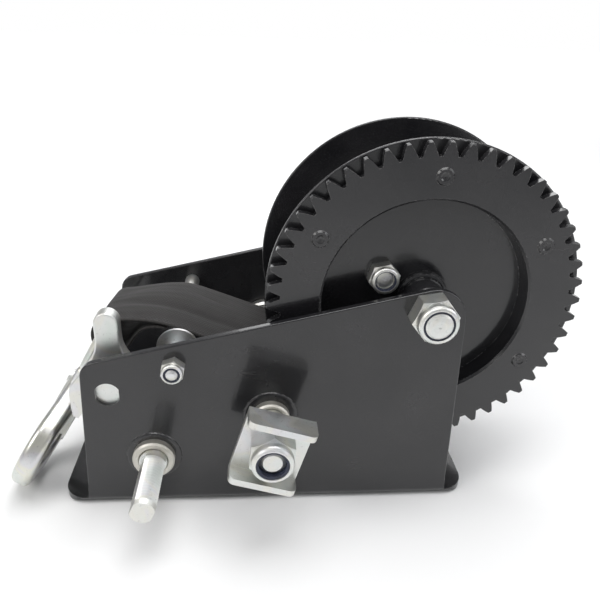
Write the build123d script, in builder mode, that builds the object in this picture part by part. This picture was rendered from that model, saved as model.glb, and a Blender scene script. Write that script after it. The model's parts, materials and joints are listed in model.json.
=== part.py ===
from build123d import *
import math
import os

os.makedirs("parts", exist_ok=True)

# Two-speed hand winch for a boat trailer. Millimetres, +Z up. The origin is the middle of the
# base's underside. +X points to the drum end, -Y to the crank side, and every shaft runs along Y.

# ---- frame: one steel sheet bent into a channel -------------------------------------------
frame_width = 119.0
sheet = 4.0
base_length = 234.0
base_corner = 15.0
side_left = -102.0
side_right = 103.8
side_left_lean = 2.6
side_right_lean = 1.3
top_height = 113.7
top_slope = 0.234
bend_inside = 2.0
plate_round = 0.8
plate_low = 12.0
front_out = -frame_width / 2
front_in = front_out + sheet
rear_out = frame_width / 2
rear_in = rear_out - sheet
bolt_hole_radius = 5.25
bolt_spacing_x = 180.0
bolt_spacing_y = 60.0

# ---- gear train: one module, so every centre distance follows from the tooth counts --------
module_size = 3.25
pressure_angle = 25.0
tooth_thinning = 0.14
drum_teeth = 50
pinion_b_teeth = 13
middle_teeth = 28
pinion_a_teeth = 14
axle_x, axle_z = 82.0, 120.5
angle_to_b = 217.2
angle_to_a = 201.3
reach_b = module_size * (drum_teeth + pinion_b_teeth) / 2
reach_a = module_size * (middle_teeth + pinion_a_teeth) / 2
shaft_b_x = axle_x + reach_b * math.cos(math.radians(angle_to_b))
shaft_b_z = axle_z + reach_b * math.sin(math.radians(angle_to_b))
shaft_a_x = shaft_b_x + reach_a * math.cos(math.radians(angle_to_a))
shaft_a_z = shaft_b_z + reach_a * math.sin(math.radians(angle_to_a))
drum_tip = module_size * (drum_teeth / 2 + 1)

# ---- layers across the width, from the crank side to the rear -------------------------------
middle_front = front_in + 1.0
middle_back = middle_front + 5.0
gear_front = front_out + 11.5
gear_thick = 4.0
pinion_front = gear_front - 0.7
pinion_back = pinion_front + 6.0
flange_thick = 2.3
front_flange_front = front_out + 18.5
rear_flange_front = front_out + 83.5
dish_front = front_out + 22.5
strap_width = 50.0
strap_front = front_out + 27.5
strap_back = strap_front + strap_width

# ---- drum ------------------------------------------------------------------------------------
flange_radius = 85.0
lip_radius = 55.5
dish_radius = 54.5
dish_thick = 3.0
core_radius = 14.0
core_end_radius = 11.8
sleeve_radius = 10.0
axle_radius = 6.9
running = 0.05
snug = 0.02
rivet_count = 6
rivet_circle = 67.5
rivet_phase = 28.5
rivet_radius = 3.0
rivet_head = 4.6
anchor_reach = 25.0
anchor_angle = 152.0
anchor_radius = 5.0
coil_inner = 31.0
coil_outer = 60.5

# ---- shafts ----------------------------------------------------------------------------------
shaft_a_radius = 7.5
shaft_b_radius = 7.5
bush_wall = 2.2
bush_flange_a = 11.4
bush_flange_b = 10.3
bush_proud = 4.4
boss_radius = 15.0
boss_height = 1.0
stub_b_radius = 7.0
rear_end = rear_out + 9.0
clip_seat = rear_out + 5.2
clip_thick = 1.5
crank_web_front = front_out - 28.0
web_thick = 3.5
bracket_length = 35.0
bracket_height = 38.0
bracket_lip = 10.0
bracket_turn = -17.0
shaft_a_front = front_out - 44.0
flats_half = 5.6
flats_turn = 155.0
thread_pitch = 2.0
thread_depth = 1.2

# ---- lock nuts, as shares of their width or height --------------------------------------------
hex_share = 0.66
collar_share = 0.49
rim_share = 0.11

# ---- tie bolt, pawl, strap and hook ----------------------------------------------------------
tie_x, tie_z = -50.1, 89.5
tie_radius = 3.0
tie_sleeve_radius = 4.7
guide_radius = 11.4
pawl_x, pawl_z = -85.1, 73.3
pawl_front = front_out + 11.2
pawl_thick = 8.0
pawl_pin_radius = 6.8
pawl_flats = 6.1
strap_thick = 2.0
strap_top = 103.2
loop_left = -96.5
loop_bottom = 83.0
hook_x, hook_y, hook_z = -88.0, (strap_front + strap_back) / 2 + 0.8, 93.0
hook_yaw = 9.0
hook_drop = 61.0
hook_lean = 12.0
hook_thick = 11.0
eye_wire = 2.5
eye_half = 30.6
eye_waist = 27.4
eye_depth = 24.0
hook_centre = (82.0, 18.0)
hook_inner = 14.5
hook_outer = 27.0
latch_t, latch_w = 48.5, -1.0
latch_pin_radius = 2.0
gate_end = (82.0, 7.6)


def facing(x, y, z, turn=0.0):
    """Plane seen from the crank side: local x is +X, local y is +Z, normal is -Y."""
    angle = math.radians(turn)
    return Plane(origin=(x, y, z), x_dir=(math.cos(angle), 0, math.sin(angle)), z_dir=(0, -1, 0))


def ring(x, z, y_low, y_high, outer, inner=0.0, mode=Mode.ADD):
    """A disc, or a ring, round an axis along Y, from y_low to y_high."""
    with BuildSketch(facing(x, y_high, z)) as disc:
        Circle(outer)
        if inner:
            Circle(inner, mode=Mode.SUBTRACT)
    extrude(disc.sketch, amount=y_high - y_low, mode=mode)


def turned(x, z, profile, mode=Mode.ADD):
    """A shape turned round an axis along Y from (radius, y) corners."""
    with BuildSketch(Plane(origin=(x, 0, z), x_dir=(1, 0, 0), z_dir=(0, 0, 1))) as half:
        with BuildLine():
            Polyline(*profile, close=True)
        make_face()
    revolve(half.sketch, axis=Axis((x, 0, z), (0, 1, 0)), mode=mode)


def hexagon(x, z, seat, side, width, height, turn=0.0):
    """A hexagon head standing on y = seat, towards side (-1 crank side, +1 rear)."""
    y_high = seat if side < 0 else seat + height
    with BuildSketch(facing(x, y_high, z)) as sides:
        RegularPolygon(width / 2, 6, major_radius=False, rotation=turn)
    extrude(sides.sketch, amount=height)
    corner = width / 2 / math.cos(math.radians(30))
    bevel = (corner - width / 2) * 0.6
    top = seat + side * height
    turned(x, z, [(0, seat), (corner, seat), (corner, top - side * bevel), (width / 2, top), (0, top)],
           mode=Mode.INTERSECT)


def lock_nut(x, z, seat, width, height, bolt, turn=0.0):
    """A lock nut on the crank side of y = seat: hexagon, round collar, and room for its insert."""
    hex_height = hex_share * height
    collar = collar_share * width
    rim = rim_share * width
    hexagon(x, z, seat, -1, width, hex_height, turn)
    step = seat - hex_height
    end = seat - height
    turned(x, z, [
        (0, step), (collar, step), (collar, end + 0.8 * rim), (collar - 0.11 * rim, end + 0.4 * rim),
        (collar - 0.4 * rim, end + 0.11 * rim), (collar - 0.8 * rim, end), (0, end)])
    ring(x, z, end, seat, bolt + snug, mode=Mode.SUBTRACT)
    ring(x, z, end, step - 0.5, collar - rim, mode=Mode.SUBTRACT)


def insert(x, z, seat, width, height, bolt):
    """The nylon ring that sits inside a lock nut's collar."""
    step = seat - hex_share * height
    outer = (collar_share - rim_share) * width
    ring(x, z, seat - height + 0.7, step - 0.5, outer, bolt + snug)


def shank(x, z, back, end, radius, chamfer=0.8):
    """A bolt's shank from y = back to its chamfered and slightly domed end on the crank side."""
    turned(x, z, [
        (0, back), (radius, back), (radius, end + chamfer), (radius - chamfer, end + 0.3),
        (0.5 * radius, end + 0.05), (0, end)])


def tooth_points(teeth):
    """One tooth's flank, from below the root circle to the tip, as (radius, half angle)."""
    pitch = module_size * teeth / 2
    base = pitch * math.cos(math.radians(pressure_angle))
    tip = pitch + module_size
    root = pitch - 1.25 * module_size
    flat = math.radians(pressure_angle)
    half = math.pi / (2 * teeth) - tooth_thinning / pitch + math.tan(flat) - flat
    start = max(root, base)
    flank = []
    steps = 5
    for i in range(steps + 1):
        radius = start + (tip - start) * i / steps
        turn = math.sqrt(max((radius / base) ** 2 - 1, 0))
        flank.append((radius, half - (turn - math.atan(turn))))
    return root, flank


def gear_outline(teeth, phase):
    """Full gear outline, with a tooth centred on the angle phase."""
    root, flank = tooth_points(teeth)
    Circle(root)
    inside = (root - 0.6, flank[0][1])
    low = [Vector(r * math.cos(a), -r * math.sin(a)) for r, a in [inside] + flank]
    high = [Vector(point.X, -point.Y) for point in low]
    with BuildSketch(mode=Mode.PRIVATE) as tooth:
        with BuildLine():
            Line(low[0], low[1])
            Spline(*low[1:])
            Line(low[-1], high[-1])
            Spline(*high[1:])
            Line(high[0], high[1])
            Line(low[0], high[0])
        make_face()
    with PolarLocations(0, teeth, start_angle=phase):
        add(tooth.sketch)


def write(piece, node):
    piece.part.label = node
    export_step(piece.part, "parts/" + node + ".step")


# ---- frame -------------------------------------------------------------------------------------
with BuildPart() as frame:
    # the side plates: leaning ends, a sloping top, rounded upper corners and eased edges
    lean_left = math.tan(math.radians(side_left_lean))
    lean_right = math.tan(math.radians(side_right_lean))
    left_low_x = side_left + lean_left * plate_low
    right_low_x = side_right - lean_right * plate_low
    left_top_x = side_left + lean_left * (top_height + top_slope * side_left)
    right_top_x = side_right - lean_right * (top_height + top_slope * side_right)
    for y in (front_in, rear_out):
        with BuildSketch(facing(0, y, 0)):
            with BuildLine():
                FilletPolyline(
                    (left_low_x, plate_low),
                    (left_top_x, top_height + top_slope * left_top_x),
                    (right_top_x, top_height + top_slope * right_top_x),
                    (right_low_x, plate_low),
                    radius=[9.0, 17.0],
                )
                Line((right_low_x, plate_low), (left_low_x, plate_low))
            make_face()
        extrude(amount=sheet)
    along_faces = [e for e in frame.edges() if abs((e @ 0).Y - (e @ 1).Y) < 0.01]
    fillet([e for e in along_faces if e.center().Z > plate_low + 1], plate_round)
    # the base and both bends
    with BuildSketch(Plane.YZ.offset(-base_length / 2)) as channel:
        Rectangle(frame_width, plate_low, align=(Align.CENTER, Align.MIN))
        fillet(channel.vertices().group_by(Axis.Y)[0], bend_inside + sheet)
        with Locations((0, sheet)):
            RectangleRounded(frame_width - 2 * sheet, 2 * plate_low, bend_inside,
                             align=(Align.CENTER, Align.MIN), mode=Mode.SUBTRACT)
    extrude(amount=base_length)
    over = 2 * base_length
    with BuildSketch(facing(0, rear_out + 1, 0)):
        with BuildLine():
            Polyline((side_left, 0), (left_low_x, plate_low), (-over, plate_low), (-over, over),
                     (over, over), (over, plate_low), (right_low_x, plate_low), (side_right, 0),
                     close=True)
        make_face()
        with Locations((0, (sheet + bend_inside) / 2)):
            Rectangle(base_length, sheet + bend_inside)
    extrude(amount=frame_width + 2, mode=Mode.INTERSECT)
    # past the side plates the base is flat, with square cut-backs at the bends and round corners
    for end, edge in ((-1, side_left), (1, side_right)):
        length = base_length / 2 - abs(edge)
        with BuildSketch(Plane.XY.offset(sheet)):
            with Locations((end * (abs(edge) + length / 2), 0)):
                Rectangle(length, frame_width)
        extrude(amount=bend_inside + 1, mode=Mode.SUBTRACT)
    with BuildSketch(Plane.XY):
        RectangleRounded(base_length, frame_width, base_corner)
        Rectangle(side_right - side_left, frame_width)
    extrude(amount=top_height + 60, mode=Mode.INTERSECT)
    with BuildSketch(Plane.XY):
        with GridLocations(bolt_spacing_x, bolt_spacing_y, 2, 2):
            Circle(bolt_hole_radius)
    extrude(amount=sheet + 1, mode=Mode.SUBTRACT)
    # raised rings round both shaft holes on the crank side
    for x, z in ((shaft_a_x, shaft_a_z), (shaft_b_x, shaft_b_z)):
        turned(x, z, [
            (0, front_out), (boss_radius, front_out), (boss_radius - 0.3, front_out - 0.6 * boss_height),
            (boss_radius - 1, front_out - 0.9 * boss_height), (boss_radius - 2, front_out - boss_height),
            (0, front_out - boss_height)])
    for x, z, r in ((shaft_a_x, shaft_a_z, shaft_a_radius), (shaft_b_x, shaft_b_z, shaft_b_radius)):
        ring(x, z, front_out - 2, rear_out + 1, r + bush_wall, mode=Mode.SUBTRACT)
    ring(axle_x, axle_z, front_out - 1, rear_out + 1, axle_radius + snug, mode=Mode.SUBTRACT)
    ring(tie_x, tie_z, front_out - 1, rear_out + 1, tie_radius + snug, mode=Mode.SUBTRACT)
    # the pawl pin's hole has two flats, so the pin can't turn
    with BuildSketch(facing(pawl_x, front_in + 0.5, pawl_z)):
        Circle(pawl_pin_radius + snug)
        Rectangle(2 * (pawl_flats + snug), 4 * pawl_pin_radius, mode=Mode.INTERSECT)
    extrude(amount=sheet + 1, mode=Mode.SUBTRACT)
write(frame, "frame")

# ---- drum ---------------------------------------------------------------------------------------
with BuildPart() as drum_gear:
    gear_back = gear_front + gear_thick
    dish_back = dish_front + dish_thick
    with BuildSketch(facing(axle_x, gear_back, axle_z)):
        gear_outline(drum_teeth, angle_to_b)
        Circle(lip_radius, mode=Mode.SUBTRACT)
    extrude(amount=gear_thick)
    for face, side in ((gear_front, 1), (gear_back, -1)):
        turned(axle_x, axle_z, [
            (drum_tip - 0.5, face), (drum_tip + 1, face), (drum_tip + 1, face + side * 0.6),
            (drum_tip, face + side * 0.6)], mode=Mode.SUBTRACT)
    wall = gear_thick - 1.0
    turned(axle_x, axle_z, [
        (lip_radius + 1.2, gear_front), (lip_radius, gear_front + 1.2), (dish_radius, dish_front),
        (core_radius, dish_front), (core_radius, dish_back), (dish_radius + wall, dish_back),
        (lip_radius + wall, gear_back), (lip_radius + wall, gear_front)])
    turned(axle_x, axle_z, [(lip_radius - 1, gear_front - 1), (lip_radius + 1.4, gear_front - 0.2),
                            (lip_radius, gear_front + 1.2), (lip_radius - 1, gear_front + 1.2)],
           mode=Mode.SUBTRACT)
    with BuildSketch(facing(axle_x, dish_back, axle_z)):
        Circle(core_radius + snug)
        with PolarLocations(anchor_reach, 1, start_angle=anchor_angle):
            Circle(anchor_radius + snug)
    extrude(amount=dish_thick, mode=Mode.SUBTRACT)
    with BuildSketch(facing(axle_x, gear_back, axle_z)):
        with PolarLocations(rivet_circle, rivet_count, start_angle=rivet_phase):
            Circle(rivet_radius + snug)
    extrude(amount=gear_thick, mode=Mode.SUBTRACT)
write(drum_gear, "drum_gear")

with BuildPart() as front_flange:
    with BuildSketch(facing(axle_x, front_flange_front + flange_thick, axle_z)):
        Circle(flange_radius)
        Circle(lip_radius + gear_thick + 0.2, mode=Mode.SUBTRACT)
        with PolarLocations(rivet_circle, rivet_count, start_angle=rivet_phase):
            Circle(rivet_radius + snug, mode=Mode.SUBTRACT)
    extrude(amount=flange_thick)
    fillet(front_flange.edges().filter_by(GeomType.CIRCLE).group_by(SortBy.LENGTH)[-1], 0.8)
write(front_flange, "front_flange")

with BuildPart() as rear_flange:
    with BuildSketch(facing(axle_x, rear_flange_front + flange_thick, axle_z)):
        Circle(flange_radius)
        Circle(core_radius + snug, mode=Mode.SUBTRACT)
        with PolarLocations(anchor_reach, 1, start_angle=anchor_angle):
            Circle(anchor_radius + snug, mode=Mode.SUBTRACT)
    extrude(amount=flange_thick)
    fillet(rear_flange.edges().filter_by(GeomType.CIRCLE).group_by(SortBy.LENGTH)[-1], 0.8)
write(rear_flange, "rear_flange")

core_back = rear_flange_front + flange_thick + 2.0
core_step = dish_front - 3.6
with BuildPart() as drum_core:
    turned(axle_x, axle_z, [
        (0, front_in + 0.4), (core_end_radius - 0.8, front_in + 0.4), (core_end_radius, front_in + 1.2),
        (core_end_radius, core_step), (core_radius - 1.6, core_step), (core_radius - 0.5, core_step + 0.5),
        (core_radius, core_step + 1.6), (core_radius, core_back), (0, core_back)])
    ring(axle_x, axle_z, front_in, core_back, sleeve_radius + running, mode=Mode.SUBTRACT)
write(drum_core, "drum_core")

with BuildPart() as drum_rivets:
    flange_back = front_flange_front + flange_thick
    head_front = gear_front - 0.9
    for i in range(rivet_count):
        angle = math.radians(rivet_phase + i * 360 / rivet_count)
        x = axle_x + rivet_circle * math.cos(angle)
        z = axle_z + rivet_circle * math.sin(angle)
        turned(x, z, [
            (0, head_front + 0.7), (1.6, head_front + 0.5), (2.4, head_front), (3.8, head_front),
            (rivet_head, gear_front), (rivet_radius, gear_front), (rivet_radius, gear_back),
            (rivet_head - 0.4, gear_back), (rivet_head - 0.4, front_flange_front),
            (rivet_radius, front_flange_front), (rivet_radius, flange_back),
            (rivet_head, flange_back), (rivet_head - 1, flange_back + 1.2), (0, flange_back + 1.2)])
write(drum_rivets, "drum_rivets")

anchor_x = axle_x + anchor_reach * math.cos(math.radians(anchor_angle))
anchor_z = axle_z + anchor_reach * math.sin(math.radians(anchor_angle))
anchor_width, anchor_height = 15.0, 10.0
with BuildPart() as anchor_bolt:
    seat = rear_flange_front + flange_thick
    hexagon(anchor_x, anchor_z, seat, 1, anchor_width, 6.4, 12)
    shank(anchor_x, anchor_z, seat, dish_front - anchor_height + 2.6, anchor_radius)
write(anchor_bolt, "strap_anchor_bolt")

with BuildPart() as anchor_nut:
    lock_nut(anchor_x, anchor_z, dish_front, anchor_width, anchor_height, anchor_radius, 12)
write(anchor_nut, "strap_anchor_nut")

with BuildPart() as anchor_insert:
    insert(anchor_x, anchor_z, dish_front, anchor_width, anchor_height, anchor_radius)
write(anchor_insert, "anchor_nut_insert")

with BuildPart() as strap_coil:
    ring(axle_x, axle_z, strap_front, strap_back, coil_outer, coil_inner)
write(strap_coil, "strap_coil")

# ---- axle: a bolt that clamps a sleeve between the side plates; the drum turns on the sleeve ----
axle_width, axle_height = 21.3, 15.8
with BuildPart() as axle_bolt:
    hexagon(axle_x, axle_z, rear_out, 1, axle_width, 10.0, 8)
    shank(axle_x, axle_z, rear_out, front_out - axle_height - 1.0, axle_radius, 1.0)
write(axle_bolt, "axle_bolt")

with BuildPart() as axle_sleeve:
    ring(axle_x, axle_z, front_in, rear_in, sleeve_radius, axle_radius + snug)
write(axle_sleeve, "axle_sleeve")

with BuildPart() as axle_nut:
    lock_nut(axle_x, axle_z, front_out, axle_width, axle_height, axle_radius, 8)
write(axle_nut, "axle_nut")

with BuildPart() as axle_insert:
    insert(axle_x, axle_z, front_out, axle_width, axle_height, axle_radius)
write(axle_insert, "axle_nut_insert")

with BuildPart() as rear_spacer:
    ring(axle_x, axle_z, core_back + 0.4, rear_in, 13.0, sleeve_radius + snug)
write(rear_spacer, "drum_rear_spacer")

# ---- shaft bushes, pressed into the side plates ---------------------------------------------------
for name, x, z, shaft, flange in (
        ("a", shaft_a_x, shaft_a_z, shaft_a_radius, bush_flange_a),
        ("b", shaft_b_x, shaft_b_z, shaft_b_radius, bush_flange_b)):
    bore = shaft + running
    with BuildPart() as front_bush:
        seat = front_out - boss_height
        turned(x, z, [(bore, front_in), (shaft + bush_wall, front_in), (shaft + bush_wall, seat),
                      (flange, seat), (flange, seat - bush_proud + 0.9),
                      (flange - 0.9, seat - bush_proud), (bore + 0.8, seat - bush_proud),
                      (bore, seat - bush_proud + 0.8)])
    write(front_bush, "bush_" + name + "_front")
    with BuildPart() as rear_bush:
        turned(x, z, [(bore, rear_in), (shaft + bush_wall, rear_in), (shaft + bush_wall, rear_out),
                      (flange, rear_out), (flange, rear_out + bush_proud),
                      (bore, rear_out + bush_proud)])
    write(rear_bush, "bush_" + name + "_rear")
    with BuildPart() as end_clip:
        with BuildSketch(facing(x, clip_seat + clip_thick, z)):
            Circle(shaft + 3.0)
            Circle(shaft - 1.0, mode=Mode.SUBTRACT)
            with Locations((0, -shaft - 1)):
                Rectangle(shaft, 2 * shaft, mode=Mode.SUBTRACT)
        extrude(amount=clip_thick)
    write(end_clip, "shaft_" + name + "_clip")

# ---- shaft B: pinion on the drum gear, middle gear, crank bracket ---------------------------------
bracket_nut_width, bracket_nut_height = 22.0, 14.0
with BuildPart() as shaft_b:
    stub_end = crank_web_front - bracket_nut_height + 2.2
    turned(shaft_b_x, shaft_b_z, [
        (0, rear_end), (shaft_b_radius - 1, rear_end), (shaft_b_radius, rear_end - 1),
        (shaft_b_radius, clip_seat + clip_thick), (shaft_b_radius - 1, clip_seat + clip_thick),
        (shaft_b_radius - 1, clip_seat), (shaft_b_radius, clip_seat),
        (shaft_b_radius, crank_web_front + web_thick), (stub_b_radius, crank_web_front + web_thick),
        (stub_b_radius, stub_end + 1.6), (stub_b_radius - 2.2, stub_end), (0, stub_end)])
write(shaft_b, "shaft_b")

with BuildPart() as pinion_b:
    with BuildSketch(facing(shaft_b_x, pinion_back, shaft_b_z)):
        gear_outline(pinion_b_teeth, angle_to_b + 180 + 180 / pinion_b_teeth)
        Circle(shaft_b_radius + snug, mode=Mode.SUBTRACT)
    extrude(amount=pinion_back - pinion_front)
write(pinion_b, "pinion_b")

with BuildPart() as middle_gear:
    with BuildSketch(facing(shaft_b_x, middle_back, shaft_b_z)):
        gear_outline(middle_teeth, angle_to_a)
        Circle(shaft_b_radius + snug, mode=Mode.SUBTRACT)
    extrude(amount=middle_back - middle_front)
write(middle_gear, "middle_gear")

with BuildPart() as spacer_b:
    ring(shaft_b_x, shaft_b_z, pinion_back + 0.2, rear_in - 7.2, shaft_b_radius + 2.4,
         shaft_b_radius + snug)
write(spacer_b, "shaft_b_spacer")

with BuildPart() as collar_b:
    turned(shaft_b_x, shaft_b_z, [
        (shaft_b_radius + snug, rear_in - 7), (16.0, rear_in - 7), (17.5, rear_in - 5.5),
        (17.5, rear_in - 0.5), (shaft_b_radius + snug, rear_in - 0.5)])
write(collar_b, "shaft_b_collar")

with BuildPart() as crank_bracket:
    web_plane = facing(shaft_b_x, crank_web_front + web_thick, shaft_b_z, bracket_turn)
    with BuildSketch(web_plane):
        RectangleRounded(bracket_length, bracket_height, 3)
        Circle(stub_b_radius + snug, mode=Mode.SUBTRACT)
    extrude(amount=web_thick)
    with BuildSketch(web_plane):
        for side in (-1, 1):
            with Locations((0, side * (bracket_height - web_thick) / 2)):
                Rectangle(bracket_length, web_thick)
    extrude(amount=web_thick + bracket_lip)
    corners = crank_bracket.edges().filter_by(lambda e: abs(e.length - web_thick) < 0.01)
    fillet(corners.group_by(Axis.Y)[0], 3.4)
write(crank_bracket, "crank_bracket")

with BuildPart() as bracket_nut:
    lock_nut(shaft_b_x, shaft_b_z, crank_web_front, bracket_nut_width, bracket_nut_height,
             stub_b_radius, 25)
write(bracket_nut, "crank_bracket_nut")

with BuildPart() as bracket_insert:
    insert(shaft_b_x, shaft_b_z, crank_web_front, bracket_nut_width, bracket_nut_height, stub_b_radius)
write(bracket_insert, "bracket_nut_insert")

# ---- shaft A: the slow input, with its long pinion that the pawl works on --------------------------
pinion_a_front = front_in + 0.5
pinion_a_back = pawl_front + pawl_thick + 0.5
with BuildPart() as shaft_a:
    thread_start = front_out - 9.5
    groove = shaft_a_radius - thread_depth
    corners = [(0, rear_end), (shaft_a_radius - 1, rear_end), (shaft_a_radius, rear_end - 1),
               (shaft_a_radius, clip_seat + clip_thick), (shaft_a_radius - 1, clip_seat + clip_thick),
               (shaft_a_radius - 1, clip_seat), (shaft_a_radius, clip_seat),
               (shaft_a_radius, thread_start)]
    y = thread_start
    while y > shaft_a_front + 2 * thread_pitch:
        corners += [(groove, y - thread_pitch / 2), (shaft_a_radius - 0.3, y - thread_pitch)]
        y -= thread_pitch
    corners += [(groove, shaft_a_front), (0, shaft_a_front)]
    turned(shaft_a_x, shaft_a_z, corners)
    # two flats for the crank's socket, from the bush to the tip
    flats_back = front_out - boss_height - bush_proud - 1.0
    with BuildSketch(facing(shaft_a_x, flats_back, shaft_a_z, flats_turn)):
        for side in (-1, 1):
            with Locations((side * (flats_half + 5), 0)):
                Rectangle(10, 30)
    extrude(amount=flats_back - shaft_a_front + 1, mode=Mode.SUBTRACT)
write(shaft_a, "shaft_a")

with BuildPart() as pinion_a:
    with BuildSketch(facing(shaft_a_x, pinion_a_back, shaft_a_z)):
        gear_outline(pinion_a_teeth, angle_to_a + 180 + 180 / pinion_a_teeth)
        Circle(shaft_a_radius + snug, mode=Mode.SUBTRACT)
    extrude(amount=pinion_a_back - pinion_a_front)
write(pinion_a, "pinion_a")

with BuildPart() as spacer_a:
    ring(shaft_a_x, shaft_a_z, pinion_a_back + 0.2, rear_in - 0.5, shaft_a_radius + 2.4,
         shaft_a_radius + snug)
write(spacer_a, "shaft_a_spacer")

# ---- tie bolt -------------------------------------------------------------------------------------
tie_width, tie_height = 11.4, 8.0
with BuildPart() as tie_bolt:
    hexagon(tie_x, tie_z, rear_out, 1, tie_width, 4.2, 10)
    shank(tie_x, tie_z, rear_out, front_out - tie_height - 0.6, tie_radius)
write(tie_bolt, "tie_bolt")

with BuildPart() as tie_nut:
    lock_nut(tie_x, tie_z, front_out, tie_width, tie_height, tie_radius, 20)
write(tie_nut, "tie_nut")

with BuildPart() as tie_insert:
    insert(tie_x, tie_z, front_out, tie_width, tie_height, tie_radius)
write(tie_insert, "tie_nut_insert")

with BuildPart() as tie_sleeve:
    ring(tie_x, tie_z, front_in, rear_in, tie_sleeve_radius, tie_radius + snug)
write(tie_sleeve, "tie_sleeve")

with BuildPart() as guide_washer:
    ring(tie_x, tie_z, pawl_front + pawl_thick + 1.2, pawl_front + pawl_thick + 2.8, guide_radius,
         tie_sleeve_radius + snug)
write(guide_washer, "strap_guide_washer")

# ---- pawl -----------------------------------------------------------------------------------------
pawl_back = pawl_front + pawl_thick
with BuildPart() as pawl:
    with BuildSketch(facing(pawl_x, pawl_back, pawl_z)):
        with BuildLine():
            Line((-6.3, 35.3), (-6.3, 27))
            Spline((-6.3, 27), (-10.2, 14), (-20.5, 0.5), (-23.6, -8), tangents=((0, -1), (0, -1)))
            Line((-23.6, -8), (-23.2, -20.5))
            Line((-23.2, -20.5), (-20, -22.5))
            Line((-20, -22.5), (-10.5, -9.5))
            ThreePointArc((-10.5, -9.5), (0, -12.5), (8.5, -10.5))
            Line((8.5, -10.5), (13.2, -13.2))
            Line((13.2, -13.2), (19.5, -3.5))
            Spline((19.5, -3.5), (16.6, 3.6), (10.2, 14), (6.3, 27), tangents=((0, 1), (0, 1)))
            Line((6.3, 27), (6.3, 35.3))
            ThreePointArc((6.3, 35.3), (0, 41.6), (-6.3, 35.3))
        make_face()
        Circle(pawl_pin_radius + running, mode=Mode.SUBTRACT)
    extrude(amount=pawl_thick)
    neck = pawl.faces().sort_by(Axis.Y)[0].edges().sort_by(Axis.Z)[-3:]
    fillet(neck, 1.0)
write(pawl, "pawl")

pin_back = pawl_back + 4.5
with BuildPart() as pawl_pin:
    ring(pawl_x, pawl_z, front_in, pin_back, pawl_pin_radius)
    with BuildSketch(facing(pawl_x, front_in, pawl_z)):
        Circle(pawl_pin_radius)
        Rectangle(2 * pawl_flats, 4 * pawl_pin_radius, mode=Mode.INTERSECT)
    extrude(amount=sheet - 2.2)
    ring(pawl_x, pawl_z, pawl_back + 2.6, pawl_back + 3.7, pawl_pin_radius + 1, pawl_pin_radius - 1,
         mode=Mode.SUBTRACT)
write(pawl_pin, "pawl_pin")

with BuildPart() as pawl_spacer:
    ring(pawl_x, pawl_z, front_in, pawl_front - 0.3, pawl_pin_radius + 2.7, pawl_pin_radius + snug)
write(pawl_spacer, "pawl_spacer")

with BuildPart() as pawl_washer:
    ring(pawl_x, pawl_z, pawl_back + 0.3, pawl_back + 2.4, pawl_pin_radius + 1.4,
         pawl_pin_radius + snug)
write(pawl_washer, "pawl_washer")

with BuildPart() as pawl_clip:
    with BuildSketch(facing(pawl_x, pawl_back + 3.6, pawl_z)):
        Circle(pawl_pin_radius + 1.8)
        Circle(pawl_pin_radius - 1 + snug, mode=Mode.SUBTRACT)
        with Locations((0, -pawl_pin_radius)):
            Rectangle(6, 2 * pawl_pin_radius, mode=Mode.SUBTRACT)
    extrude(amount=0.9)
write(pawl_clip, "pawl_clip")

# ---- free strap: from the underside of the wound strap, over the tie bolt, round the hook's bar -----
bend_x = -46.0
to_axle = math.atan2(axle_z - strap_top, axle_x - bend_x)
span = math.hypot(axle_x - bend_x, axle_z - strap_top)
lay_radius = coil_outer + 0.5 + strap_thick / 2
down = to_axle - math.asin(lay_radius / span)
run = math.sqrt(span ** 2 - lay_radius ** 2)
leave_x = bend_x + run * math.cos(down)
leave_z = strap_top + run * math.sin(down)
under_ply = strap_top - strap_thick - 0.3
with BuildPart() as strap_free:
    with BuildLine(Plane(origin=(0, strap_front + strap_width / 2, 0), x_dir=(1, 0, 0),
                         z_dir=(0, -1, 0))) as strap_path:
        FilletPolyline(
            (leave_x, leave_z), (bend_x, strap_top), (loop_left, strap_top),
            (loop_left, loop_bottom), (-79, loop_bottom), (-70, under_ply), (-56, under_ply),
            radius=[40, 7, 7, 6, 8])
    start = strap_path.line
    with BuildSketch(Plane(origin=start @ 0, x_dir=(0, 1, 0), z_dir=start % 0)):
        Rectangle(strap_width, strap_thick)
    sweep()
write(strap_free, "strap_free")

# ---- hook: wide eye for the strap, and a sprung latch across its mouth ------------------------------
yaw = math.radians(hook_yaw)
drop = math.radians(hook_drop)
lean = math.radians(hook_lean)
level = Vector(math.sin(yaw), math.cos(yaw), 0)
fall = Vector(-math.cos(drop) * math.cos(yaw), math.cos(drop) * math.sin(yaw), -math.sin(drop))
along = fall * math.cos(lean) - level * math.sin(lean)
normal = level.cross(fall)
hook_plane = Plane(origin=(hook_x, hook_y, hook_z), x_dir=along, z_dir=normal)
neck_t = eye_depth + 17.0


def on_hook(radius, angle):
    """A point of the hook's bend, in the hook's own plane."""
    turn = math.radians(angle)
    return (hook_centre[0] + radius * math.cos(turn), hook_centre[1] + radius * math.sin(turn))


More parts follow.
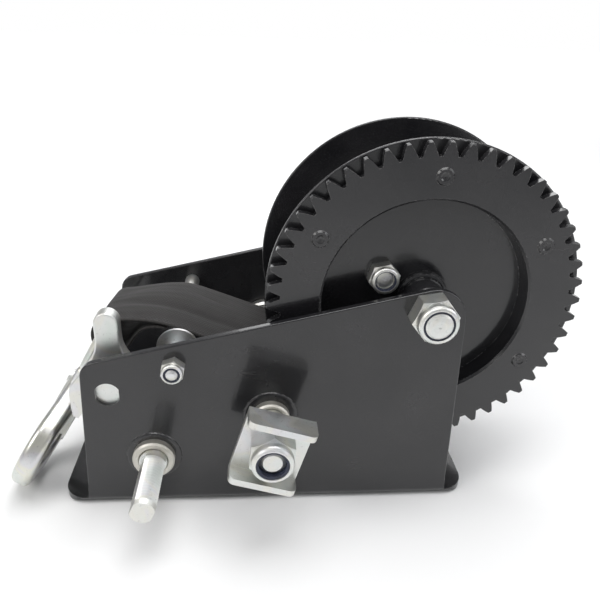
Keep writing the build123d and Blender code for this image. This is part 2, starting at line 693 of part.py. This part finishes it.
with BuildPart() as hook_body:
    with BuildSketch(hook_plane.offset(-hook_thick / 2)) as outline:
        with BuildLine():
            ThreePointArc(on_hook(hook_outer, -100), on_hook(hook_outer, 0), on_hook(hook_outer, 145))
            Polyline(on_hook(hook_outer, 145), (neck_t + 5, 10), (neck_t - 5, 8.5),
                     (neck_t - 5, -8.5), (neck_t + 9, -10), on_hook(hook_inner, 180))
            ThreePointArc(on_hook(hook_inner, 180), on_hook(hook_inner, 0), on_hook(hook_inner, -100))
            Line(on_hook(hook_inner, -100), on_hook(hook_outer, -100))
        make_face()
    extrude(amount=hook_thick)
    upright = [e for e in hook_body.edges().filter_by(GeomType.LINE) if abs(e.length - hook_thick) < 0.01]
    tip_edges = [e for e in upright if hook_plane.to_local_coords(e @ 0.5).X > 74]
    neck_edges = [e for e in upright if hook_plane.to_local_coords(e @ 0.5).X < neck_t + 10]
    fillet(tip_edges, 4.5)
    fillet(neck_edges, 2.5)
    for side in (-1, 1):
        face = hook_body.faces().filter_by(lambda f: side * f.normal_at().dot(normal) > 0.999)[0]
        fillet(face.outer_wire().edges(), 3.4)
    with BuildSketch(hook_plane.offset(-hook_thick)):
        with Locations((latch_t, latch_w)):
            Circle(latch_pin_radius + snug)
    extrude(amount=2 * hook_thick, mode=Mode.SUBTRACT)
    with BuildLine(hook_plane) as eye_path:
        FilletPolyline(
            (0, eye_half), (eye_depth, eye_waist), (neck_t, 5.0), (neck_t, -5.0),
            (eye_depth, -eye_waist), (0, -eye_half), radius=4.5, close=True)
    eye = eye_path.line
    with BuildSketch(Plane(origin=eye @ 0, z_dir=eye % 0)):
        Circle(eye_wire)
    sweep()
write(hook_body, "hook_body")

cheek_gap = hook_thick / 2 + 0.5
cheek_thick = 1.2
gate_angle = math.degrees(math.atan2(gate_end[1] - latch_w, gate_end[0] - latch_t))
gate_length = math.hypot(gate_end[0] - latch_t, gate_end[1] - latch_w)
gate_origin = hook_plane.from_local_coords(Vector(latch_t, latch_w, 0))
gate_dir = hook_plane.from_local_coords(Vector(gate_end[0], gate_end[1], 0)) - gate_origin
gate_plane = Plane(origin=gate_origin, x_dir=gate_dir, z_dir=normal)
with BuildPart() as hook_latch:
    for low in (-cheek_gap - cheek_thick, cheek_gap):
        with BuildSketch(gate_plane.offset(low)):
            Circle(5.0)
            with Locations((gate_length - 2, 0)):
                Circle(3.2)
            with BuildLine():
                Polyline((0, 4.8), (gate_length - 2, 3.2), (gate_length - 2, -3.2), (0, -4.8),
                         close=True)
            make_face()
        extrude(amount=cheek_thick)
    with BuildSketch(gate_plane.offset(-cheek_gap - 0.1)):
        with Locations((gate_length - 8.5, -2.4)):
            Rectangle(15, 1.4)
    extrude(amount=2 * cheek_gap + 0.2)
    with BuildSketch(gate_plane.offset(-2 * cheek_gap)):
        Circle(latch_pin_radius + running)
    extrude(amount=4 * cheek_gap, mode=Mode.SUBTRACT)
write(hook_latch, "hook_latch")

with BuildPart() as latch_pin:
    head_low = cheek_gap + cheek_thick + 0.2
    with BuildSketch(gate_plane.offset(-head_low - 0.8)):
        Circle(latch_pin_radius)
    extrude(amount=2 * head_low + 1.6)
    for low in (-head_low - 0.8, head_low):
        with BuildSketch(gate_plane.offset(low)):
            Circle(latch_pin_radius + 1.2)
        extrude(amount=0.8)
write(latch_pin, "hook_latch_pin")
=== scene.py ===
"""Boat trailer winch: camera, light, materials and the webbing strap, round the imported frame."""
import json
import math

import bpy
import bmesh
import numpy as np
from mathutils import Matrix, Vector


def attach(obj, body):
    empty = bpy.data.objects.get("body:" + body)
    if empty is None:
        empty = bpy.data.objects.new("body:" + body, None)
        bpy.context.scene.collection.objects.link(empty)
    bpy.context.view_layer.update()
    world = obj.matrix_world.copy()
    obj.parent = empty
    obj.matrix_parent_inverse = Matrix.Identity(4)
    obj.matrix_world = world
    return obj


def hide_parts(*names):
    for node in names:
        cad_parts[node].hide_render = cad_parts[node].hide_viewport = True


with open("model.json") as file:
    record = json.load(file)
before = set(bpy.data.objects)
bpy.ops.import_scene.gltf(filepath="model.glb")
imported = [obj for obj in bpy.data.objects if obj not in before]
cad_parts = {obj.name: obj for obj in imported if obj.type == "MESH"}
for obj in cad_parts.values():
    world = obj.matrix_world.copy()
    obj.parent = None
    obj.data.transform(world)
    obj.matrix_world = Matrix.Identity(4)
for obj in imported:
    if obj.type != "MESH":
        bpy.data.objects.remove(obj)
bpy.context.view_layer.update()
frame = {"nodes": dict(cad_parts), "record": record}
nodes = frame["nodes"]
scene = bpy.context.scene
MM = 0.001

# the strap, in metres: it runs along X and Z, and its two edges stay at these Y
STRAP_THICK = 1.7 * MM
STRAP_WIDTH = 50.0 * MM
STRAP_NEAR = -32.0 * MM
STRAP_FAR = 18.0 * MM
AXLE = Vector((82.0 * MM, 0.0, 120.5 * MM))

# ---- camera, as fitted to the photograph ---------------------------------------------------------
CAMERA_PLACE = Vector((-0.0095, -0.3370, 0.2557))
LENS = 36.906
HEADING, TILT, ROLL = math.radians(-4.911), math.radians(-24.664), math.radians(-1.977)
turn = (Matrix.Rotation(HEADING, 3, "Z") @ Matrix.Rotation(TILT, 3, "X")
        @ Matrix.Rotation(ROLL, 3, "Y"))
camera_data = bpy.data.cameras.new("camera")
camera_data.lens = LENS
camera_data.sensor_width = 36.0
camera_data.clip_start = 0.005
camera = bpy.data.objects.new("camera", camera_data)
scene.collection.objects.link(camera)
axes = Matrix((turn.col[0], turn.col[2], -turn.col[1])).transposed()
camera.matrix_world = Matrix.Translation(CAMERA_PLACE) @ axes.to_4x4()
scene.camera = camera
scene.view_settings.view_transform = "Standard"

# ---- light ---------------------------------------------------------------------------------------
# the room's soft light is pale grey; the backdrop behind the object shows as plain white
ROOM_COLOUR = (0.93, 0.94, 0.96, 1)
ROOM_STRENGTH = 0.40
world = bpy.data.worlds.new("studio")
world.use_nodes = True
scene.world = world
sky = world.node_tree
room = sky.nodes["Background"]
room.inputs["Color"].default_value = ROOM_COLOUR
room.inputs["Strength"].default_value = ROOM_STRENGTH
backdrop = sky.nodes.new("ShaderNodeBackground")
backdrop.inputs["Color"].default_value = (1, 1, 1, 1)
choice = sky.nodes.new("ShaderNodeMixShader")
rays = sky.nodes.new("ShaderNodeLightPath")
sky.links.new(rays.outputs["Is Camera Ray"], choice.inputs[0])
sky.links.new(room.outputs[0], choice.inputs[1])
sky.links.new(backdrop.outputs[0], choice.inputs[2])
sky.links.new(choice.outputs[0], sky.nodes["World Output"].inputs["Surface"])


def softbox(name, place, aim, width, height, watts, colour=(1, 1, 1)):
    """A rectangular area light that faces a point."""
    data = bpy.data.lights.new(name, "AREA")
    data.shape = "RECTANGLE"
    data.size, data.size_y = width, height
    data.energy, data.color = watts, colour
    lamp = bpy.data.objects.new(name, data)
    scene.collection.objects.link(lamp)
    lamp.location = place
    lamp.rotation_euler = (Vector(aim) - Vector(place)).to_track_quat("-Z", "Y").to_euler()


softbox("top_light", (0.05, -0.05, 1.1), (0.0, 0.0, 0.1), 0.9, 0.7, 8.4)
softbox("left_light", (-0.9, -0.5, 0.8), (0.0, 0.0, 0.1), 0.6, 0.6, 5.0, (1.0, 0.99, 0.97))
softbox("right_light", (0.9, -0.3, 0.6), (0.05, 0.0, 0.1), 0.4, 0.7, 2.6, (0.97, 0.98, 1.0))
softbox("back_light", (0.1, 0.9, 0.7), (0.0, 0.0, 0.1), 0.8, 0.4, 2.6)


# ---- material helpers ----------------------------------------------------------------------------
class Shader:
    """A node tree with short calls for the nodes that the materials share."""

    def __init__(self, name):
        self.material = bpy.data.materials.new(name)
        self.material.use_nodes = True
        self.tree = self.material.node_tree
        self.tree.nodes.clear()
        self.out = self.node("ShaderNodeOutputMaterial")
        self.bsdf = self.node("ShaderNodeBsdfPrincipled")
        self.link(self.bsdf.outputs[0], self.out.inputs["Surface"])
        self.place = self.node("ShaderNodeTexCoord").outputs["Object"]

    def node(self, kind, **values):
        made = self.tree.nodes.new(kind)
        for key, value in values.items():
            setattr(made, key, value)
        return made

    def link(self, source, target):
        if hasattr(source, "links"):
            self.tree.links.new(source, target)
        else:
            target.default_value = source

    def set(self, **values):
        for key, value in values.items():
            self.link(value, self.bsdf.inputs[key.replace("_", " ")])

    def stretched(self, scale):
        made = self.node("ShaderNodeMapping")
        self.link(self.place, made.inputs["Vector"])
        made.inputs["Scale"].default_value = scale
        return made.outputs[0]

    def noise(self, scale, detail=3.0, rough=0.5, vector=None, distortion=0.0):
        made = self.node("ShaderNodeTexNoise")
        self.link(vector or self.place, made.inputs["Vector"])
        made.inputs["Scale"].default_value = scale
        made.inputs["Detail"].default_value = detail
        made.inputs["Roughness"].default_value = rough
        made.inputs["Distortion"].default_value = distortion
        return made.outputs["Fac"]

    def span(self, value, low, high, to_low=0.0, to_high=1.0):
        made = self.node("ShaderNodeMapRange")
        self.link(value, made.inputs["Value"])
        names = ("From Min", "From Max", "To Min", "To Max")
        for key, number in zip(names, (low, high, to_low, to_high)):
            made.inputs[key].default_value = number
        return made.outputs[0]

    def math(self, operation, a, b=0.0, c=0.0):
        made = self.node("ShaderNodeMath", operation=operation)
        for socket, value in zip(made.inputs, (a, b, c)):
            self.link(value, socket)
        return made.outputs[0]

    def mix(self, share, a, b):
        made = self.node("ShaderNodeMix", data_type="RGBA")
        self.link(share, made.inputs[0])
        for socket, value in ((made.inputs[6], a), (made.inputs[7], b)):
            self.link(value if hasattr(value, "links") else (*value, 1.0), socket)
        return made.outputs[2]

    def ramp(self, value, *stops):
        made = self.node("ShaderNodeValToRGB")
        self.link(value, made.inputs[0])
        band = made.color_ramp
        while len(band.elements) < len(stops):
            band.elements.new(0.5)
        for element, (place, colour) in zip(band.elements, stops):
            element.position, element.color = place, (*colour, 1.0)
        return made.outputs[0]

    def bump(self, height, depth, strength):
        made = self.node("ShaderNodeBump")
        made.inputs["Strength"].default_value = strength
        made.inputs["Distance"].default_value = depth
        self.link(height, made.inputs["Height"])
        return made.outputs[0]

    def edges(self, radius):
        """High where the surface turns sharply within that radius."""
        bevel = self.node("ShaderNodeBevel", samples=4)
        bevel.inputs["Radius"].default_value = radius
        true = self.node("ShaderNodeNewGeometry").outputs["True Normal"]
        dot = self.node("ShaderNodeVectorMath", operation="DOT_PRODUCT")
        self.link(bevel.outputs[0], dot.inputs[0])
        self.link(true, dot.inputs[1])
        return self.span(dot.outputs["Value"], 0.99, 0.8, 0.0, 1.0)


def gloss_black():
    """Thick glossy black paint: faint orange peel, handling marks, thin and worn on the edges, with
    a painted highlight along them too.
    """
    s = Shader("black_paint")
    cloudy = s.noise(22, 4, 0.6)
    fine = s.noise(420, 2, 0.5)
    colour = s.mix(s.span(cloudy, 0.35, 0.65), (0.011, 0.011, 0.0125), (0.020, 0.0195, 0.021))
    dust = s.span(s.noise(2600, 1, 0.5), 0.68, 0.76)
    colour = s.mix(s.math("MULTIPLY", dust, 0.25), colour, (0.12, 0.12, 0.12))
    # sharp edges are painted paler: partly chipped, worn paint, partly a painted highlight along
    # the edges; the same mask makes them rougher
    chips = s.span(s.noise(900, 3, 0.7), 0.46, 0.60)
    edge_wear_and_highlight = s.math("MULTIPLY", s.edges(0.0006), chips)
    colour = s.mix(s.math("MULTIPLY", edge_wear_and_highlight, 0.75), colour, (0.26, 0.255, 0.25))
    scuff = s.span(s.noise(1, 3, 0.6, s.stretched((60, 60, 420))), 0.60, 0.74)
    rough = s.math("ADD", s.span(cloudy, 0.3, 0.7, 0.15, 0.27), s.math("MULTIPLY", scuff, 0.035))
    rough = s.math("ADD", rough, s.math("MULTIPLY", edge_wear_and_highlight, 0.25))
    peel = s.math("ADD", s.math("MULTIPLY", fine, 0.5), s.noise(130, 2, 0.5))
    s.set(Base_Color=colour, Roughness=rough, Coat_Weight=0.3, Coat_Roughness=0.06,
          Normal=s.bump(peel, 0.00012, 0.55))
    return s.material


def zinc(name, rough, tint, grain, bright):
    """Electroplated zinc: bright, slightly cloudy metal with faint passivation colours."""
    s = Shader(name)
    cloudy = s.noise(55, 5, 0.62, distortion=0.6)
    fine = s.noise(grain, 3, 0.6)
    base = s.mix(s.span(cloudy, 0.3, 0.7), tuple(0.86 * v for v in bright), bright)
    hue = s.ramp(s.noise(38, 2, 0.5, distortion=1.2),
                 (0.30, (0.62, 0.74, 0.66)), (0.42, (0.80, 0.80, 0.78)), (0.52, (0.86, 0.78, 0.62)),
                 (0.60, (0.74, 0.66, 0.76)), (0.72, (0.64, 0.74, 0.82)))
    colour = s.mix(tint, base, hue)
    spots = s.span(s.noise(700, 2, 0.6), 0.62, 0.72)
    colour = s.mix(s.math("MULTIPLY", spots, 0.35), colour, (0.34, 0.34, 0.33))
    wear = s.math("MULTIPLY", s.edges(0.0005), 0.5)
    colour = s.mix(wear, colour, (0.92, 0.92, 0.91))
    roughness = s.math("ADD", s.span(cloudy, 0.3, 0.7, rough, rough + 0.12),
                       s.span(fine, 0.3, 0.7, 0.0, 0.07))
    s.set(Base_Color=colour, Metallic=1.0, Roughness=roughness, Normal=s.bump(fine, 0.00006, 0.6))
    return s.material


def cut_steel():
    """Machined steel with a film of grease: darker, with turning marks."""
    s = Shader("gear_steel")
    cloudy = s.noise(70, 4, 0.6)
    marks = s.noise(1, 2, 0.5, s.stretched((300, 2500, 300)))
    colour = s.mix(s.span(cloudy, 0.35, 0.65), (0.33, 0.32, 0.31), (0.50, 0.50, 0.49))
    grease = s.span(s.noise(90, 3, 0.6), 0.52, 0.66)
    colour = s.mix(s.math("MULTIPLY", grease, 0.5), colour, (0.16, 0.13, 0.10))
    s.set(Base_Color=colour, Metallic=1.0, Roughness=s.span(marks, 0.3, 0.7, 0.28, 0.42),
          Normal=s.bump(marks, 0.00005, 0.5))
    return s.material


def nylon_ring():
    """Blue-black nylon of the lock nuts' inserts, scuffed by the bolt."""
    s = Shader("nylon")
    cloudy = s.noise(260, 4, 0.6)
    colour = s.mix(s.span(cloudy, 0.35, 0.65), (0.012, 0.015, 0.032), (0.035, 0.042, 0.075))
    s.set(Base_Color=colour, Roughness=s.span(cloudy, 0.3, 0.7, 0.38, 0.55),
          Normal=s.bump(cloudy, 0.0001, 0.5))
    return s.material


def webbing():
    """Polyester webbing. Its UVs are metres along and across, so the weave has its true size."""
    s = Shader("webbing")
    uv = s.node("ShaderNodeTexCoord").outputs["UV"]
    parts = s.node("ShaderNodeSeparateXYZ")
    s.link(uv, parts.inputs[0])
    along, across = parts.outputs[0], parts.outputs[1]
    warp, weft, rib = 0.00125, 0.0016, 0.0062
    worn_from, worn_to = 0.0228, 0.0246
    column = s.math("DIVIDE", across, warp)
    odd = s.math("MODULO", s.math("FLOOR", column), 2.0)
    yarn = s.math("ABSOLUTE", s.math("SINE", s.math("MULTIPLY", column, math.pi)))
    step = s.math("MULTIPLY_ADD", odd, math.pi, s.math("MULTIPLY", along, 2 * math.pi / weft))
    float_over = s.span(s.math("SINE", step), -1, 1)
    fuzz = s.noise(5200, 3, 0.7, uv)
    height = s.math("MULTIPLY_ADD", yarn, float_over, s.math("MULTIPLY", fuzz, 0.35))
    patchy = s.noise(34, 4, 0.6, uv)
    colour = s.mix(s.span(patchy, 0.35, 0.65), (0.0080, 0.0070, 0.0068), (0.0135, 0.0120, 0.0116))
    # painted shade: the weave's hollows are painted darker and the yarn crests lighter, following
    # the same height as the bump
    colour = s.mix(s.span(height, 0.2, 1.2, 0.0, 0.7), colour, (0.0235, 0.0210, 0.0205))
    # the selvedges are rubbed paler, and wide ribs run along the strap
    from_middle = s.math("ABSOLUTE", s.math("SUBTRACT", across, STRAP_WIDTH / 2))
    selvedge = s.math("MULTIPLY", s.span(from_middle, worn_from, worn_to),
                      s.span(s.noise(800, 3, 0.7, uv), 0.35, 0.6))
    colour = s.mix(s.math("MULTIPLY", selvedge, 0.6), colour, (0.055, 0.051, 0.049))
    ribs = s.math("SINE", s.math("MULTIPLY", across, 2 * math.pi / rib))
    height = s.math("MULTIPLY_ADD", ribs, 0.35, height)
    lint = s.span(s.noise(1900, 2, 0.6, uv), 0.70, 0.80)
    colour = s.mix(s.math("MULTIPLY", lint, 0.25), colour, (0.08, 0.075, 0.072))
    s.set(Base_Color=colour, Roughness=s.span(patchy, 0.3, 0.7, 0.62, 0.78), Sheen_Weight=0.08,
          Sheen_Roughness=0.45, Normal=s.bump(height, 0.00026, 0.8))
    return s.material


def pale_floor():
    """A plain pale studio surface that glows a little further out, so that it stays white there."""
    s = Shader("studio_floor")
    parts = s.node("ShaderNodeSeparateXYZ")
    s.link(s.place, parts.inputs[0])
    behind = s.span(parts.outputs[1], 0.05, 1.6, 0.0, 0.75)
    in_front = s.span(parts.outputs[1], -2.2, -4.5, 0.0, 0.45)
    s.set(Base_Color=s.mix(s.noise(3, 2, 0.5), (0.86, 0.86, 0.86), (0.89, 0.89, 0.89)),
          Roughness=0.7, Specular_IOR_Level=0.2, Emission_Color=(1, 1, 1, 1),
          Emission_Strength=s.math("ADD", behind, in_front))
    return s.material


MATERIALS = {
    "black_paint": gloss_black(),
    "zinc_plate": zinc("zinc_plate", 0.33, 0.22, 1500, (0.75, 0.765, 0.745)),
    "hook_plate": zinc("hook_plate", 0.27, 0.34, 900, (0.66, 0.69, 0.655)),
    "gear_steel": cut_steel(),
    "bush_iron": zinc("bush_iron", 0.40, 0.06, 2400, (0.66, 0.64, 0.585)),
    "nylon": nylon_ring(),
    "webbing": webbing(),
}
for entry in frame["record"]["subparts"]:
    for slot in nodes[entry["node"]].material_slots:
        slot.material = MATERIALS[entry["material_slot"]]


# ---- floor ---------------------------------------------------------------------------------------
FLOOR_RADIUS = 8.0
FLOOR_SIDES = 96
FLOOR_Z = -0.2 * MM


def disc(name, radius, sides, z):
    """A flat disc: one face with that many sides."""
    mesh = bpy.data.meshes.new(name)
    points = [(radius * math.cos(a), radius * math.sin(a), z)
              for a in (2 * math.pi * i / sides for i in range(sides))]
    mesh.from_pydata(points, [], [list(range(sides))])
    made = bpy.data.objects.new(name, mesh)
    scene.collection.objects.link(made)
    return made


floor = disc("studio_floor", FLOOR_RADIUS, FLOOR_SIDES, FLOOR_Z)
floor.data.materials.append(pale_floor())

# ---- webbing -------------------------------------------------------------------------------------
# a selvedge is this share of the strap's thickness, and stands out by this share of half of it
EDGE_THIN = 0.8
EDGE_ROUND = 0.45


def smooth_line(points, step, fineness=24):
    """Even points, about a step apart, on a Catmull-Rom line through rows of numbers."""
    rows = np.array(points, float)
    rows = np.vstack([2 * rows[0] - rows[1], rows, 2 * rows[-1] - rows[-2]])
    fine = []
    for i in range(1, len(rows) - 2):
        a, b, c, d = rows[i - 1:i + 3]
        for t in np.linspace(0, 1, fineness, endpoint=False):
            fine.append(0.5 * (2 * b + (c - a) * t + (2 * a - 5 * b + 4 * c - d) * t ** 2
                               + (3 * b - a - 3 * c + d) * t ** 3))
    fine.append(rows[-2])
    fine = np.array(fine)
    gone = np.concatenate([[0], np.cumsum(np.linalg.norm(np.diff(fine[:, :2], axis=0), axis=1))])
    even = np.linspace(0, gone[-1], max(2, int(gone[-1] / step)) + 1)
    return np.stack([np.interp(even, gone, fine[:, k]) for k in range(fine.shape[1])], axis=1)


def fold_shape(share, gone):
    """The strap's rise over its edges, for a crown of 1: two soft folds wander along it."""
    first_depth, first_width = 0.55, 0.075
    second_depth, second_width = 0.25, 0.05
    first = 0.42 + 0.10 * math.sin(gone * 31.0 + 0.6)
    second = 0.74 + 0.05 * math.sin(gone * 47.0)
    crown = 4 * share * (1 - share)
    return (crown - first_depth * math.exp(-((share - first) / first_width) ** 2)
            - second_depth * math.exp(-((share - second) / second_width) ** 2)
            * math.sin(gone * 60.0) ** 2)


def band(name, near, far, thick, across, crown=None):
    """A closed strip of webbing between two edge lines, with rounded selvedges, UVs in metres.

    The ring is one cross-section: share of the way across, lift off the middle, out past an edge.
    """
    near, far = np.array(near), np.array(far)
    middle = (near + far) / 2
    along = np.gradient(middle, axis=0)
    over = far - near
    up = np.cross(over, along)
    up /= np.linalg.norm(up, axis=1)[:, None]
    side = over / np.linalg.norm(over, axis=1)[:, None]
    gone = np.concatenate([[0], np.cumsum(np.linalg.norm(np.diff(middle, axis=0), axis=1))])
    width = np.linalg.norm(over, axis=1).mean()
    shares = [j / across for j in range(across + 1)]
    half = thick / 2
    lifts = [half * (EDGE_THIN if share in (0, 1) else 1.0) for share in shares]
    ring = [(share, lift, 0.0) for share, lift in zip(shares, lifts)]
    ring += [(1.0, 0.0, EDGE_ROUND * half)]
    ring += [(share, -lift, 0.0) for share, lift in reversed(list(zip(shares, lifts)))]
    ring += [(0.0, 0.0, -EDGE_ROUND * half)]
    count = len(ring)
    points, uvs = [], []
    for i in range(len(near)):
        for share, lift, out in ring:
            rise = 0.0 if crown is None else crown[i] * fold_shape(share, gone[i])
            points.append(near[i] + over[i] * share + up[i] * (lift + rise) + side[i] * out)
            uvs.append((gone[i], width * share))
    faces = []
    for i in range(len(near) - 1):
        for j in range(count):
            k = (j + 1) % count
            faces.append((i * count + j, (i + 1) * count + j, (i + 1) * count + k, i * count + k))
    faces.append(tuple(range(count)))
    faces.append(tuple(reversed(range((len(near) - 1) * count, len(near) * count))))
    mesh = bpy.data.meshes.new(name)
    mesh.from_pydata([tuple(p) for p in points], [], faces)
    layer = mesh.uv_layers.new(name="strap")
    for loop in mesh.loops:
        layer.data[loop.index].uv = uvs[loop.vertex_index]
    made = bmesh.new()
    made.from_mesh(mesh)
    bmesh.ops.recalc_face_normals(made, faces=made.faces)
    made.to_mesh(mesh)
    made.free()
    for face in mesh.polygons:
        face.use_smooth = True
    piece = bpy.data.objects.new(name, mesh)
    scene.collection.objects.link(piece)
    mesh.materials.append(MATERIALS["webbing"])
    return piece, float(gone[-1])


def at(x, z, y):
    """A point from x and z in millimetres and y in metres."""
    return (x * MM, y, z * MM)


def round_axle(radius, degrees):
    """x and z, in millimetres, of a point on a circle round the drum's axle."""
    angle = math.radians(degrees)
    return AXLE.x / MM + radius * math.cos(angle), AXLE.z / MM + radius * math.sin(angle)


# The wound strap is one spiral, in millimetres and degrees. The strap leaves the drum at LEAVE.
# The spiral's outer end is LAP short of that, and the free strap starts just past that end.
COIL_INNER = 32.0
COIL_OUTER = 59.7
COIL_STEP = 2.0
COIL_SLACK = 0.12
COIL_ACROSS = 6
LEAVE = 249.0
LAP = 34.0
POINTS_PER_TURN = 64
turns = (COIL_OUTER - COIL_INNER) / COIL_STEP
count = int(turns * POINTS_PER_TURN)
spiral = []
for i in range(count + 1):
    back = turns * i / count
    slack = COIL_SLACK * math.sin(back * 9.1)
    radius = COIL_INNER + (COIL_OUTER - COIL_INNER) * i / count + slack
    spiral.append(round_axle(radius, LEAVE + LAP + 360.0 * (turns - back)))
strap_wound, wound_length = band(
    "strap_wound", [at(x, z, STRAP_NEAR) for x, z in spiral],
    [at(x, z, STRAP_FAR) for x, z in spiral], STRAP_THICK, across=COIL_ACROSS)
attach(strap_wound, "drum")
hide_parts("strap_coil")

# The free strap runs from the wound part to the tail under the loop. Each row, in millimetres:
# near edge's x and z, far edge's x and z, crown.
ROUTE_STEP = 2.0
ROUTE_ACROSS = 44
start = []
for extra, radius in ((30, 60.6), (20, 61.5), (10, 61.6), (0, 61.6)):
    x, z = round_axle(radius, LEAVE + extra)
    start.append((x, z, x, z, 0.0))
route = start + [
    (40.0, 68.5, 40.0, 70.0, 0.3),
    (15.0, 75.5, 15.0, 79.8, 0.8),
    (-10.0, 82.5, -10.0, 89.4, 1.4),
    (-30.0, 89.5, -29.5, 96.9, 2.0),
    (-42.0, 94.8, -42.0, 101.6, 2.2),
    (-52.0, 98.8, -50.0, 103.6, 2.2),
    (-63.0, 101.9, -61.0, 103.4, 2.4),
    (-76.0, 103.2, -71.0, 102.2, 2.2),
    (-87.0, 103.2, -80.0, 100.8, 1.2),
    (-93.5, 101.2, -89.0, 99.6, 0.5),
    (-96.6, 96.2, -92.3, 95.2, 0.0),
    (-96.4, 89.2, -92.2, 89.4, 0.0),
    (-92.6, 84.2, -88.6, 84.0, 0.0),
    (-86.0, 82.6, -82.0, 82.3, 0.2),
    (-79.6, 85.6, -76.0, 85.2, 0.4),
    (-75.0, 92.0, -69.4, 91.6, 0.5),
    (-70.0, 97.2, -64.4, 96.8, 0.6),
    (-62.5, 98.8, -58.5, 99.9, 0.9),
    (-56.5, 97.6, -54.0, 100.2, 0.9),
]
line = smooth_line(route, ROUTE_STEP)
strap_loose, loose_length = band(
    "strap_loose", [at(r[0], r[1], STRAP_NEAR) for r in line],
    [at(r[2], r[3], STRAP_FAR) for r in line], STRAP_THICK,
    crown=[r[4] * MM for r in line], across=ROUTE_ACROSS)
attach(strap_loose, "frame")
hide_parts("strap_free")
